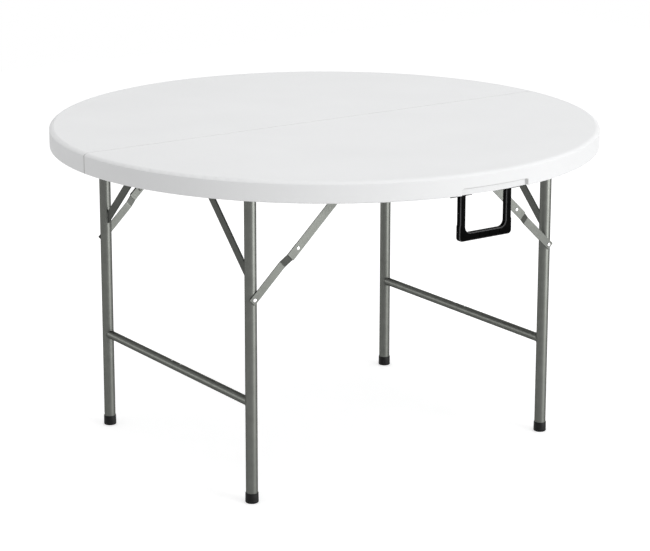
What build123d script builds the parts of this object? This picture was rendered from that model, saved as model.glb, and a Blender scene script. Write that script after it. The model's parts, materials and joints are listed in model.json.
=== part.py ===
from build123d import *
import os
from math import asin, cos, radians, sin

# Round folding garden table: two hollow half tops joined by a seam along X, two folding leg
# frames at x = -leg_x and x = +leg_x, four jointed braces and a carrying handle at the front.
# Millimetres, +Z up, the floor is z = 0 and the table's axis is x = y = 0. Front is -Y.

# Driving dimensions
top_radius = 610.0
table_height = 722.0
skirt_depth = 44.0
panel_thickness = 20.0
leg_inset_x = 216.0
leg_inset_y = 310.0
leg_diameter = 25.4
pivot_drop = 38.0
pivot_stagger = 29.0
crossbar_height = 218.5
crossbar_diameter = 19.0
brace_rivet_drop = 278.0
brace_angle = 43.4
lower_link_length = 141.0
upper_link_length_left = 160.0
upper_link_length_right = 145.0

# Half tops
skin = 3.0
shoulder_drop = 5.5
shoulder_width = 10.0
skirt_edge_radius = 2.0
rim_width = 22.0
seam_gap = 1.0
seam_chamfer = 0.8
seam_rib_width = 18.0
vent_radius = 3.0
vent_x = 330.0
dimple_length = 36.0
dimple_width = 12.0
dimple_depth = 14.0
dimple_pitch_x = 84.0
dimple_pitch_y = 52.0
dimple_margin = 12.0
dimple_rows = 10
dimple_columns = 14
grip_recess_half = 84.0
grip_recess_height = 13.5
grip_recess_depth = 8.0
grip_recess_corner = 4.0
grip_recess_lip = 3.0
notch_margin = 3.0

# Leg frames
leg_wall = 1.2
pivot_tube_diameter = 22.0
pivot_tube_wall = 1.4
pivot_tube_inset = 28.0
crossbar_wall = 1.2
crossbar_split = 0.6
knuckle_length = 60.0
knuckle_pin_radius = 1.5
knuckle_pin_y = 18.0
strut_width = 19.0
strut_thickness = 4.0
strut_foot_drop = 240.0
foot_cap_diameter = 28.6
foot_cap_height = 22.0
foot_cap_floor = 4.0
foot_cap_bevel = 1.2

# Braces
link_thickness = 2.0
lower_link_width = 18.0
upper_link_width = 20.0
link_overhang = 8.0
joggle_start = 95.0
joggle_end = 115.0
joggle_step = 5.8
elbow_corner = 6.0
rivet_radius = 3.0
rivet_head_radius = 4.25
rivet_head_height = 2.2
hanger_thickness = 2.0
hanger_top_half = 20.0
hanger_bottom_radius = 11.0
hanger_flange = 22.0
hanger_screw_x = 12.0

# Pivot clips
clip_width = 24.0
clip_wall = 3.5
clip_flange_half = 32.0
clip_flange_thickness = 3.0
clip_screw_x = 24.0
clip_inner_y = 48.0
clip_outer_inset = 42.0

# Seam hinges
hinge_x = 260.0
hinge_half_length = 25.0
leaf_thickness = 2.0
leaf_width = 13.0
knuckle_radius = 3.0
hinge_pin_radius = 1.5
hinge_axis_drop = 3.4
middle_knuckle_half = 8.6
knuckle_gap = 0.4
hinge_screw_x = 16.0

# Handle
handle_inset = 42.0
handle_axis_drop = 7.0
handle_half_width = 66.5
handle_arm_width = 13.9
handle_depth = 12.5
handle_reach = 97.7
handle_bar_height = 16.7
handle_flare = 1.3
handle_flare_top = 61.8
handle_flare_bottom = 66.8
handle_outer_corner = 8.0
handle_inner_corner = 14.0
handle_edge = 1.5
grip_pocket_depth = 1.2
grip_pocket_height = 8.0
grip_pocket_length = 21.0
grip_pocket_gap = 5.0
axle_radius = 2.3
mount_inner_x = 35.0
mount_outer_x = 88.0
mount_barrel_radius = 4.0
mount_web = 2.0
mount_flange = 26.0
mount_screw_inset = 9.0

# Screws
screw_radius = 1.8
screw_head_radius = 3.6
screw_head_height = 1.8
screw_depth = 9.0
boss_radius = 6.5

# Clearances
pin_clearance = 0.05
weld_clearance = 0.05
running_clearance = 0.3
link_gap = 0.2
leg_to_link = 0.5
arm_gap = 0.8
cut_overrun = 5.0
edge_tolerance = 0.02

# Worked-out levels and places
skirt_bottom = table_height - skirt_depth
underside = table_height - panel_thickness
leg_x = top_radius - leg_inset_x
leg_y = top_radius - leg_inset_y
brace_rivet_height = table_height - brace_rivet_drop
strut_foot_height = table_height - strut_foot_drop
leg_radius = leg_diameter / 2
crossbar_radius = crossbar_diameter / 2
pivot_tube_radius = pivot_tube_diameter / 2
foot_cap_radius = foot_cap_diameter / 2
pivot_z_left = table_height - pivot_drop
pivot_z_right = pivot_z_left - pivot_stagger
rim_inner_radius = top_radius - rim_width
seam_face = seam_gap / 2
rib_inner_face = seam_face + seam_rib_width
brace_run = cos(radians(brace_angle))
brace_rise = sin(radians(brace_angle))
lower_link_inner = leg_y + leg_radius + leg_to_link
lower_link_outer = lower_link_inner + link_thickness
elbow_inner = lower_link_inner + joggle_step
elbow_outer = elbow_inner + link_thickness
upper_link_inner = elbow_outer + link_gap
upper_link_outer = upper_link_inner + link_thickness
hanger_outer = elbow_outer
hanger_inner = hanger_outer - hanger_thickness
hanger_screw_y = hanger_inner + (hanger_flange + hanger_thickness) / 2
clip_outer_y = leg_y - clip_outer_inset
leg_bore_radius = leg_radius - leg_wall
leg_rivet_inner = leg_y + (leg_bore_radius**2 - rivet_head_radius**2) ** 0.5 - pin_clearance
handle_y = top_radius - handle_inset
handle_axis_z = skirt_bottom - handle_axis_drop
handle_top_radius = handle_depth / 2
arm_centre_x = handle_half_width - handle_arm_width / 2
mount_web_y = handle_y - mount_barrel_radius + mount_web
mount_screw_y = mount_web_y - mount_flange + mount_screw_inset
leaf_outer_y = seam_face + (seam_rib_width + leaf_width) / 2
leaf_inner_y = leaf_outer_y - leaf_width
hinge_axis_z = skirt_bottom - hinge_axis_drop
hinge_screw_y = leaf_outer_y - leaf_width / 2
folded_bar_x = -leg_x + pivot_z_left - crossbar_height
notch_top = pivot_z_left + crossbar_radius + notch_margin
notch_half = crossbar_radius + notch_margin
knuckle_pin_half = crossbar_radius


def brace_point(distance):
    """Place on the left brace's centre line, as (x, z), this far from its leg rivet."""
    return (-leg_x + distance * brace_run, brace_rivet_height + distance * brace_rise)


elbow_point = brace_point(lower_link_length)
hanger_point_left = brace_point(lower_link_length + upper_link_length_left)
hanger_point_right = brace_point(lower_link_length + upper_link_length_right)

# Screw places on the underside of the front half, as (x, y)
clip_screws = [
    (side * leg_x + offset, -y)
    for side in (-1, 1)
    for offset in (-clip_screw_x, clip_screw_x)
    for y in (clip_inner_y, clip_outer_y)
]
hanger_screws = [
    (x + offset, -hanger_screw_y)
    for x in (hanger_point_left[0], -hanger_point_right[0])
    for offset in (-hanger_screw_x, hanger_screw_x)
]
mount_screws = [
    (side * x, -mount_screw_y)
    for side in (-1, 1)
    for x in (mount_inner_x + mount_screw_inset, mount_outer_x - mount_screw_inset)
]
hinge_screws = [
    (x + offset, -hinge_screw_y)
    for x in (-hinge_x, 0, hinge_x)
    for offset in (-hinge_screw_x, hinge_screw_x)
]

# Rectangles on the underside that stay free of dimples, as (x, y, half length, half width)
fitting_pads = [
    (side * leg_x, -y, clip_flange_half, clip_width / 2)
    for side in (-1, 1)
    for y in (clip_inner_y, clip_outer_y)
]
fitting_pads += [
    (x, -hanger_screw_y, hanger_top_half, hanger_flange / 2)
    for x in (hanger_point_left[0], -hanger_point_right[0])
]
fitting_pads += [
    (side * (mount_inner_x + mount_outer_x) / 2, -mount_screw_y,
     (mount_outer_x - mount_inner_x) / 2, mount_flange)
    for side in (-1, 1)
]


def is_free(x, y):
    """True where a dimple fits between the rim, the seam rib and the fittings."""
    reach_x = dimple_length / 2 + dimple_margin
    reach_y = dimple_width / 2 + dimple_margin
    corner = ((abs(x) + reach_x) ** 2 + (abs(y) + reach_y) ** 2) ** 0.5
    if corner > rim_inner_radius or abs(y) - reach_y < rib_inner_face:
        return False
    return all(
        abs(x - pad_x) > reach_x + half_x or abs(y - pad_y) > reach_y + half_y
        for pad_x, pad_y, half_x, half_y in fitting_pads
    )


def dimple_places():
    """Staggered rows of dimples over the front half."""
    places = []
    for row in range(dimple_rows):
        y = -(rib_inner_face + dimple_pitch_y * (row + 0.5))
        shift = dimple_pitch_x / 2 * (row % 2)
        for column in range(-dimple_columns // 2, dimple_columns // 2 + 1):
            x = column * dimple_pitch_x + shift
            if is_free(x, y):
                places.append((x, y))
    return places


def write_part(shape, name):
    """Label a finished piece and write its STEP file."""
    shape.label = name
    export_step(shape, f"parts/{name}.step")


def group(shapes):
    """Several separate solids that share one node."""
    return Compound(children=list(shapes))


def to_rear(shape):
    return mirror(shape, about=Plane.XZ)


def to_right(shape):
    return mirror(shape, about=Plane.YZ)


def make_recess_cutter():
    """Finger recess in the skirt's lower edge: its back wall follows the round rim."""
    with BuildPart() as cutter:
        with BuildSketch(Plane.XZ.offset(rim_inner_radius)):
            with Locations((0, skirt_bottom)):
                RectangleRounded(2 * grip_recess_half, 2 * grip_recess_height, grip_recess_corner)
        extrude(amount=rim_width + cut_overrun)
        with BuildSketch(Plane.XY.offset(skirt_bottom - grip_recess_height - cut_overrun)):
            Circle(top_radius - grip_recess_depth)
        extrude(amount=2 * (grip_recess_height + cut_overrun), mode=Mode.SUBTRACT)
    return cutter.part


def is_recess_lip(edge):
    """True where the recess's outline runs over the skirt's outer face."""
    return all(
        abs((place.X**2 + place.Y**2) ** 0.5 - top_radius) < edge_tolerance
        and abs(place.X) < grip_recess_half + edge_tolerance
        and skirt_edge_radius / 2 < place.Z - skirt_bottom < grip_recess_height + edge_tolerance
        for place in (edge.position_at(share) for share in (0.1, 0.5, 0.9))
    )


def make_half_top(with_recess):
    """Front half: a hollow D-shaped moulding with a deep rim and a rib along the seam."""
    dimples = dimple_places()
    with BuildPart() as half:
        with BuildSketch(Plane.XZ) as profile:
            with BuildLine():
                shoulder_radius = (shoulder_width**2 + shoulder_drop**2) / (2 * shoulder_drop)
                shoulder_turn = asin(shoulder_width / shoulder_radius) / 2
                Line((0, table_height), (top_radius - shoulder_width, table_height))
                ThreePointArc(
                    (top_radius - shoulder_width, table_height),
                    (top_radius - shoulder_width + shoulder_radius * sin(shoulder_turn),
                     table_height - shoulder_radius * (1 - cos(shoulder_turn))),
                    (top_radius, table_height - shoulder_drop),
                )
                Polyline(
                    (top_radius, table_height - shoulder_drop),
                    (top_radius, skirt_bottom),
                    (rim_inner_radius, skirt_bottom),
                    (rim_inner_radius, underside),
                    (0, underside),
                    (0, table_height),
                )
            make_face()
            lip = profile.vertices().group_by(Axis.Y)[0]
            fillet(lip, skirt_edge_radius)
        revolve(axis=Axis.Z)
        split(bisect_by=Plane.XZ.offset(seam_face), keep=Keep.TOP)
        with BuildSketch(Plane.XY.offset(skirt_bottom)):
            Circle(top_radius - rim_width / 2)
            with Locations((0, -seam_face - seam_rib_width / 2)):
                Rectangle(2 * top_radius, seam_rib_width, mode=Mode.INTERSECT)
        extrude(amount=underside - skirt_bottom + skin)
        seam_edges = half.faces().filter_by(Axis.Y).sort_by(Axis.Y)[-1].outer_wire().edges()
        chamfer(seam_edges.filter_by(lambda edge: edge.center().Z > underside), seam_chamfer)
        # Hollow of the rim and of the seam rib
        with BuildSketch(Plane.XY.offset(skirt_bottom + skin)):
            Circle(top_radius - skin)
            with Locations((0, -seam_face - skin - top_radius / 2)):
                Rectangle(2 * top_radius, top_radius, mode=Mode.INTERSECT)
            with BuildSketch(mode=Mode.SUBTRACT):
                Circle(rim_inner_radius + skin)
                with Locations((0, -rib_inner_face + skin - top_radius / 2)):
                    Rectangle(2 * top_radius, top_radius, mode=Mode.INTERSECT)
            with Locations((0, -top_radius)):
                Rectangle(2 * (grip_recess_half + skin), 3 * rim_width, mode=Mode.SUBTRACT)
            with Locations((folded_bar_x, 0)):
                Rectangle(2 * (notch_half + skin), 2 * rib_inner_face, mode=Mode.SUBTRACT)
            with Locations(*hinge_screws):
                Circle(boss_radius, mode=Mode.SUBTRACT)
        extrude(amount=skirt_depth - shoulder_drop - 2 * skin, mode=Mode.SUBTRACT)
        # Hollow of the panel, with a post round each dimple and under each screw
        with BuildSketch(Plane.XY.offset(underside + skin)):
            Circle(top_radius - shoulder_width - skin)
            with Locations((0, -seam_face - skin - top_radius / 2)):
                Rectangle(2 * top_radius, top_radius, mode=Mode.INTERSECT)
            with Locations(*dimples):
                SlotOverall(dimple_length + 2 * skin, dimple_width + 2 * skin, mode=Mode.SUBTRACT)
            with Locations(*clip_screws, *hanger_screws, *mount_screws):
                Circle(boss_radius, mode=Mode.SUBTRACT)
        extrude(amount=panel_thickness - 2 * skin, mode=Mode.SUBTRACT)
        with BuildSketch(Plane.XY.offset(underside)):
            with Locations(*dimples):
                SlotOverall(dimple_length, dimple_width)
        extrude(amount=dimple_depth, mode=Mode.SUBTRACT)
        # Screw pilot holes in the panel and in the seam rib
        with BuildSketch(Plane.XY.offset(underside)):
            with Locations(*clip_screws, *hanger_screws, *mount_screws):
                Circle(screw_radius + pin_clearance)
        extrude(amount=screw_depth + pin_clearance, mode=Mode.SUBTRACT)
        with BuildSketch(Plane.XY.offset(skirt_bottom)):
            with Locations(*hinge_screws):
                Circle(screw_radius + pin_clearance)
        extrude(amount=screw_depth + pin_clearance, mode=Mode.SUBTRACT)
        # Notch that the left frame's crossbar folds into, and the moulding's vent
        with BuildSketch(Plane.XZ.offset(-cut_overrun)):
            with Locations((folded_bar_x, skirt_bottom)):
                Rectangle(2 * notch_half, 2 * (notch_top - skirt_bottom))
        extrude(amount=rib_inner_face + 2 * cut_overrun, mode=Mode.SUBTRACT)
        with BuildSketch(Plane.XZ):
            with Locations((vent_x, (skirt_bottom + underside) / 2)):
                Circle(vent_radius)
        extrude(amount=seam_face + seam_rib_width / 2, mode=Mode.SUBTRACT)
        if with_recess:
            add(make_recess_cutter(), mode=Mode.SUBTRACT)
            fillet(half.edges().filter_by(is_recess_lip), grip_recess_lip)
    return half.part


def make_hinge_leaf(centre_x, knuckle_spans):
    """Front leaf of a seam hinge, its knuckles at the given spans along X."""
    length = 2 * hinge_half_length
    with BuildPart() as leaf:
        with BuildSketch(Plane.XY.offset(skirt_bottom - leaf_thickness)):
            with Locations((centre_x, -leaf_outer_y + leaf_width / 2)):
                Rectangle(length, leaf_width)
        extrude(amount=leaf_thickness)
        for start, end in knuckle_spans:
            with BuildSketch(Plane.YZ.offset(centre_x + start)):
                with Locations((0, hinge_axis_z)):
                    Circle(knuckle_radius)
                arm_top = hinge_axis_z + knuckle_radius
                arm_bottom = skirt_bottom - leaf_thickness
                with Locations((-leaf_inner_y / 2, (arm_top + arm_bottom) / 2)):
                    Rectangle(leaf_inner_y, arm_top - arm_bottom)
            extrude(amount=end - start)
        with BuildSketch(Plane.YZ.offset(centre_x - hinge_half_length)):
            with Locations((0, hinge_axis_z)):
                Circle(hinge_pin_radius + pin_clearance)
        extrude(amount=length, mode=Mode.SUBTRACT)
        with BuildSketch(Plane.XY.offset(skirt_bottom - leaf_thickness)):
            for offset in (-hinge_screw_x, hinge_screw_x):
                with Locations((centre_x + offset, -hinge_screw_y)):
                    Circle(screw_radius + pin_clearance)
        extrude(amount=leaf_thickness, mode=Mode.SUBTRACT)
    return leaf.part


def make_hinge_pin(centre_x):
    with BuildPart() as pin:
        with BuildSketch(Plane.YZ.offset(centre_x - hinge_half_length)):
            with Locations((0, hinge_axis_z)):
                Circle(hinge_pin_radius)
        extrude(amount=2 * hinge_half_length)
    return pin.part


def make_screw(place, seat_z):
    """Pan-head screw driven up into the underside, its head's top at seat_z."""
    x, y = place
    with BuildPart() as screw:
        with BuildSketch(Plane.XY.offset(seat_z - screw_head_height)):
            with Locations((x, y)):
                Circle(screw_head_radius)
        extrude(amount=screw_head_height)
        chamfer(screw.edges().group_by(Axis.Z)[0], screw_head_height / 3)
        with BuildSketch(Plane.XY.offset(seat_z)):
            with Locations((x, y)):
                Circle(screw_radius)
        extrude(amount=screw_depth)
    return screw.part


def make_leg(pivot_z):
    """Left front leg: a round tube, coped under its pivot tube and drilled for the brace."""
    with BuildPart() as leg:
        with BuildSketch(Plane.XY.offset(foot_cap_floor)):
            with Locations((-leg_x, -leg_y)):
                Circle(leg_radius)
                Circle(leg_bore_radius, mode=Mode.SUBTRACT)
        extrude(amount=pivot_z - foot_cap_floor)
        with BuildSketch(Plane.XZ.offset(leg_y - leg_diameter)):
            with Locations((-leg_x, pivot_z)):
                Circle(pivot_tube_radius + weld_clearance)
        extrude(amount=2 * leg_diameter, mode=Mode.SUBTRACT)
        with BuildSketch(Plane.XZ.offset(leg_y)):
            with Locations((-leg_x, brace_rivet_height)):
                Circle(rivet_radius + pin_clearance)
        extrude(amount=leg_diameter, mode=Mode.SUBTRACT)
    return leg.part


def make_pivot_tube(pivot_z):
    with BuildPart() as tube:
        with BuildSketch(Plane.XZ.offset(pivot_tube_inset)):
            with Locations((-leg_x, pivot_z)):
                Circle(pivot_tube_radius)
                Circle(pivot_tube_radius - pivot_tube_wall, mode=Mode.SUBTRACT)
        extrude(amount=leg_y + leg_radius - pivot_tube_inset)
    return tube.part


def make_crossbar():
    """Left front half of a crossbar, coped to the leg and drilled for its joint pin."""
    with BuildPart() as bar:
        with BuildSketch(Plane.XZ.offset(crossbar_split / 2)):
            with Locations((-leg_x, crossbar_height)):
                Circle(crossbar_radius)
                Circle(crossbar_radius - crossbar_wall, mode=Mode.SUBTRACT)
        extrude(amount=leg_y - crossbar_split / 2)
        with BuildSketch(Plane.XY.offset(crossbar_height - crossbar_diameter)):
            with Locations((-leg_x, -leg_y)):
                Circle(leg_radius + weld_clearance)
            with Locations((-leg_x, -knuckle_pin_y)):
                Circle(knuckle_pin_radius + pin_clearance)
        extrude(amount=2 * crossbar_diameter, mode=Mode.SUBTRACT)
    return bar.part


def make_knuckle():
    """Plug inside the crossbar that joins its two halves at the seam line."""
    with BuildPart() as knuckle:
        with BuildSketch(Plane.XZ.offset(-knuckle_length / 2)):
            with Locations((-leg_x, crossbar_height)):
                Circle(crossbar_radius - crossbar_wall - pin_clearance)
        extrude(amount=knuckle_length)
        with BuildSketch(Plane.XY.offset(crossbar_height - crossbar_diameter)):
            for y in (-knuckle_pin_y, knuckle_pin_y):
                with Locations((-leg_x, y)):
                    Circle(knuckle_pin_radius + pin_clearance)
        extrude(amount=2 * crossbar_diameter, mode=Mode.SUBTRACT)
    return knuckle.part


def make_knuckle_pin(y):
    with BuildPart() as pin:
        with BuildSketch(Plane.XY.offset(crossbar_height - knuckle_pin_half)):
            with Locations((-leg_x, y)):
                Circle(knuckle_pin_radius)
        extrude(amount=2 * knuckle_pin_half)
    return pin.part


def make_strut(pivot_z):
    """Flat bar at 45 degrees from the leg up to the pivot tube, both ends coped."""
    rise = pivot_z - strut_foot_height
    middle = (-leg_y + rise / 2, strut_foot_height + rise / 2)
    with BuildPart() as strut:
        with BuildSketch(Plane.YZ.offset(-leg_x - strut_thickness / 2)):
            with Locations(Location((*middle, 0), (0, 0, 45))):
                Rectangle(rise * 2**0.5, strut_width)
        extrude(amount=strut_thickness)
        with BuildSketch(Plane.XY.offset(strut_foot_height - 2 * strut_width)):
            with Locations((-leg_x, -leg_y)):
                Circle(leg_radius + weld_clearance)
        extrude(amount=4 * strut_width, mode=Mode.SUBTRACT)
        with BuildSketch(Plane.XZ.offset(leg_y - rise - 2 * strut_width)):
            with Locations((-leg_x, pivot_z)):
                Circle(pivot_tube_radius + weld_clearance)
        extrude(amount=4 * strut_width, mode=Mode.SUBTRACT)
    return strut.part


def make_foot_cap():
    with BuildPart() as cap:
        with BuildSketch():
            with Locations((-leg_x, -leg_y)):
                Circle(foot_cap_radius)
        extrude(amount=foot_cap_height)
        chamfer(cap.edges().group_by(Axis.Z)[0], foot_cap_bevel)
        with BuildSketch(Plane.XY.offset(foot_cap_floor)):
            with Locations((-leg_x, -leg_y)):
                Circle(leg_radius + pin_clearance)
        extrude(amount=foot_cap_height - foot_cap_floor, mode=Mode.SUBTRACT)
        chamfer(cap.edges().group_by(Axis.Z)[-1].sort_by(SortBy.LENGTH)[-1:], foot_cap_bevel / 2)
    return cap.part


def dome_middle(radius, height):
    """Middle point of a round head's outline, as (outward, upward) from the head's base."""
    ball = (radius**2 + height**2) / (2 * height)
    turn = asin(radius / ball) / 2
    return (ball * sin(turn), height - ball * (1 - cos(turn)))


def make_rivet(place, inner_y, outer_y, with_head, with_tail):
    """Rivet along Y at place (x, z), its shank from inner_y to outer_y in front of the axis."""
    x, z = place
    plane = Plane(origin=(x, -inner_y, z), x_dir=(1, 0, 0), z_dir=(0, 0, -1))
    length = outer_y - inner_y
    bulge_x, bulge_y = dome_middle(rivet_head_radius, rivet_head_height)
    with BuildPart() as rivet:
        with BuildSketch(plane):
            with BuildLine():
                if with_tail:
                    ThreePointArc((0, -rivet_head_height), (bulge_x, -bulge_y), (rivet_head_radius, 0))
                    Line((rivet_head_radius, 0), (rivet_radius, 0))
                else:
                    Line((0, 0), (rivet_radius, 0))
                Line((rivet_radius, 0), (rivet_radius, length))
                if with_head:
                    Line((rivet_radius, length), (rivet_head_radius, length))
                    ThreePointArc(
                        (rivet_head_radius, length),
                        (bulge_x, length + bulge_y),
                        (0, length + rivet_head_height),
                    )
                else:
                    Line((rivet_radius, length), (0, length))
                head = rivet_head_height if with_head else 0
                tail = rivet_head_height if with_tail else 0
                Line((0, length + head), (0, -tail))
            make_face()
        revolve(axis=Axis((x, -inner_y, z), (0, -1, 0)))
    return rivet.part


def make_lower_link():
    """Left front lower link: flat bar with a joggle that steps its upper end outwards."""
    end = lower_link_length + link_overhang
    plane = Plane(
        origin=(-leg_x, 0, brace_rivet_height),
        x_dir=(brace_run, 0, brace_rise),
        z_dir=(brace_rise, 0, -brace_run),
    )
    with BuildPart() as link:
        with BuildSketch(plane):
            with BuildLine():
                Polyline(
                    (-link_overhang, lower_link_inner),
                    (joggle_start, lower_link_inner),
                    (joggle_end, elbow_inner),
                    (end, elbow_inner),
                    (end, elbow_outer),
                    (joggle_end, elbow_outer),
                    (joggle_start, lower_link_outer),
                    (-link_overhang, lower_link_outer),
                    close=True,
                )
            make_face()
        extrude(amount=lower_link_width / 2, both=True)
        tip = link.edges().filter_by(Axis.Y).sort_by(Axis((0, 0, 0), (brace_run, 0, brace_rise)))
        fillet(tip[-2:], elbow_corner)
        with BuildSketch(Plane.XZ.offset(leg_y)):
            with Locations(brace_point(0), elbow_point):
                Circle(rivet_radius + pin_clearance)
        extrude(amount=upper_link_outer - leg_y, mode=Mode.SUBTRACT)
    return link.part


def make_upper_link(hanger_point, length):
    """Left front upper link: flat bar from just past the joggle up to its hanger."""
    plane = Plane(
        origin=(-leg_x, -upper_link_inner, brace_rivet_height),
        x_dir=(brace_run, 0, brace_rise),
        z_dir=(0, -1, 0),
    )
    far = lower_link_length + length
    with BuildPart() as link:
        with BuildSketch(plane):
            with Locations(((joggle_end + far) / 2, 0)):
                Rectangle(far - joggle_end, upper_link_width)
            with Locations((far, 0)):
                Circle(upper_link_width / 2)
        extrude(amount=link_thickness)
        with BuildSketch(Plane.XZ.offset(upper_link_inner)):
            with Locations(elbow_point, hanger_point):
                Circle(rivet_radius + pin_clearance)
        extrude(amount=link_thickness, mode=Mode.SUBTRACT)
    return link.part


def make_hanger(hanger_point):
    """Left front bracket that hangs the upper link from the underside."""
    x, z = hanger_point
    with BuildPart() as hanger:
        with BuildSketch(Plane.XZ.offset(hanger_inner)):
            with BuildLine():
                Polyline(
                    (x - hanger_top_half, underside),
                    (x + hanger_top_half, underside),
                    (x + hanger_top_half, underside - hanger_bottom_radius),
                    (x + hanger_bottom_radius, z),
                    (x - hanger_bottom_radius, z),
                    (x - hanger_top_half, underside - hanger_bottom_radius),
                    close=True,
                )
            make_face()
            with Locations((x, z)):
                Circle(hanger_bottom_radius)
                Circle(rivet_radius + pin_clearance, mode=Mode.SUBTRACT)
        extrude(amount=hanger_thickness)
        with BuildSketch(Plane.XY.offset(underside - hanger_thickness)):
            with Locations((x, -hanger_inner - hanger_flange / 2)):
                Rectangle(2 * hanger_top_half, hanger_flange)
            for offset in (-hanger_screw_x, hanger_screw_x):
                with Locations((x + offset, -hanger_screw_y)):
                    Circle(screw_radius + pin_clearance, mode=Mode.SUBTRACT)
        extrude(amount=hanger_thickness)
    return hanger.part


def make_pivot_clip(pivot_z, y):
    """Left front saddle that carries a pivot tube under the half top."""
    saddle_radius = pivot_tube_radius + running_clearance + clip_wall
    with BuildPart() as clip:
        with BuildSketch(Plane.XZ.offset(y - clip_width / 2)):
            with Locations((-leg_x, pivot_z)):
                Circle(saddle_radius)
            with Locations((-leg_x, (pivot_z + underside) / 2)):
                Rectangle(2 * saddle_radius, underside - pivot_z)
            with Locations((-leg_x, underside - clip_flange_thickness / 2)):
                Rectangle(2 * clip_flange_half, clip_flange_thickness)
            with Locations((-leg_x, pivot_z)):
                Circle(pivot_tube_radius + running_clearance, mode=Mode.SUBTRACT)
        extrude(amount=clip_width)
        with BuildSketch(Plane.XY.offset(underside - clip_flange_thickness)):
            for offset in (-clip_screw_x, clip_screw_x):
                with Locations((-leg_x + offset, -y)):
                    Circle(screw_radius + pin_clearance)
        extrude(amount=clip_flange_thickness, mode=Mode.SUBTRACT)
    return clip.part


def make_handle():
    """Bail handle: two arms with eyes on the axles, flared into a square-cornered grip bar."""
    bottom = handle_axis_z - handle_reach
    inner = handle_half_width - handle_arm_width
    flare = handle_half_width + handle_flare
    front = handle_y - handle_depth / 2
    with BuildPart() as handle:
        with BuildSketch(Plane.XZ.offset(front)) as outline:
            with BuildLine():
                Polyline(
                    (-handle_half_width, handle_axis_z),
                    (-handle_half_width, handle_axis_z - handle_flare_top),
                    (-flare, handle_axis_z - handle_flare_bottom),
                    (-flare, bottom),
                    (flare, bottom),
                    (flare, handle_axis_z - handle_flare_bottom),
                    (handle_half_width, handle_axis_z - handle_flare_top),
                    (handle_half_width, handle_axis_z),
                    close=True,
                )
            make_face()
            fillet(outline.vertices().group_by(Axis.Y)[0], handle_outer_corner)
            with BuildSketch(mode=Mode.SUBTRACT) as window:
                with BuildLine():
                    Polyline(
                        (-inner, handle_axis_z),
                        (-inner, bottom + handle_bar_height),
                        (inner, bottom + handle_bar_height),
                        (inner, handle_axis_z),
                        close=True,
                    )
                make_face()
                fillet(window.vertices().group_by(Axis.Y)[0], handle_inner_corner)
        extrude(amount=handle_depth)
        for centre in (-arm_centre_x, arm_centre_x):
            with BuildSketch(Plane.YZ.offset(centre - handle_arm_width / 2)):
                with Locations((-handle_y, handle_axis_z)):
                    Circle(handle_top_radius)
            extrude(amount=handle_arm_width)
        long_edges = handle.edges().filter_by(lambda edge: edge.length > handle_arm_width * 1.5)
        faces_front = long_edges.filter_by_position(Axis.Y, -front - handle_depth, -front - handle_depth)
        chamfer(faces_front, handle_edge)
        for face_y in (front + handle_depth - grip_pocket_depth, front - cut_overrun):
            depth = grip_pocket_depth + (cut_overrun if face_y < front else 0)
            with BuildSketch(Plane.XZ.offset(face_y)):
                pitch = grip_pocket_length + grip_pocket_gap
                with Locations((0, bottom + handle_bar_height / 2)):
                    with GridLocations(pitch, 1, 3, 1):
                        Rectangle(grip_pocket_length, grip_pocket_height)
            extrude(amount=depth, mode=Mode.SUBTRACT)
        with BuildSketch(Plane.YZ.offset(-handle_half_width - cut_overrun)):
            with Locations((-handle_y, handle_axis_z)):
                Circle(axle_radius + pin_clearance)
        extrude(amount=2 * (handle_half_width + cut_overrun), mode=Mode.SUBTRACT)
    return handle.part


def make_handle_mount():
    """Left bracket of the handle: two barrels either side of the arm on one screwed flange."""
    arm_inner = arm_centre_x - handle_arm_width / 2 - arm_gap
    arm_outer = arm_centre_x + handle_arm_width / 2 + arm_gap
    spans = ((-mount_outer_x, -arm_outer), (-arm_inner, -mount_inner_x))
    with BuildPart() as mount:
        for start, end in spans:
            with BuildSketch(Plane.YZ.offset(start)):
                with Locations((-handle_y, handle_axis_z)):
                    Circle(mount_barrel_radius)
                with Locations((-mount_web_y + mount_web / 2, (handle_axis_z + underside) / 2)):
                    Rectangle(mount_web, underside - handle_axis_z)
                with Locations((-handle_y, handle_axis_z)):
                    Circle(axle_radius + pin_clearance, mode=Mode.SUBTRACT)
            extrude(amount=end - start)
        with BuildSketch(Plane.XY.offset(underside - mount_web)):
            centre_x = -(mount_inner_x + mount_outer_x) / 2
            with Locations((centre_x, -mount_web_y + mount_flange / 2)):
                Rectangle(mount_outer_x - mount_inner_x, mount_flange)
            for x in (mount_inner_x + mount_screw_inset, mount_outer_x - mount_screw_inset):
                with Locations((-x, -mount_screw_y)):
                    Circle(screw_radius + pin_clearance, mode=Mode.SUBTRACT)
        extrude(amount=mount_web)
    return mount.part


def make_axle():
    with BuildPart() as axle:
        with BuildSketch(Plane.YZ.offset(-mount_outer_x)):
            with Locations((-handle_y, handle_axis_z)):
                Circle(axle_radius)
        extrude(amount=mount_outer_x - mount_inner_x)
    return axle.part


def both_rows(shape):
    return group([shape, to_rear(shape)])


# Half tops and the hinges along their seam
os.makedirs("parts", exist_ok=True)
write_part(make_half_top(True), "top_half_front")
write_part(to_rear(make_half_top(False)), "top_half_rear")

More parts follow.
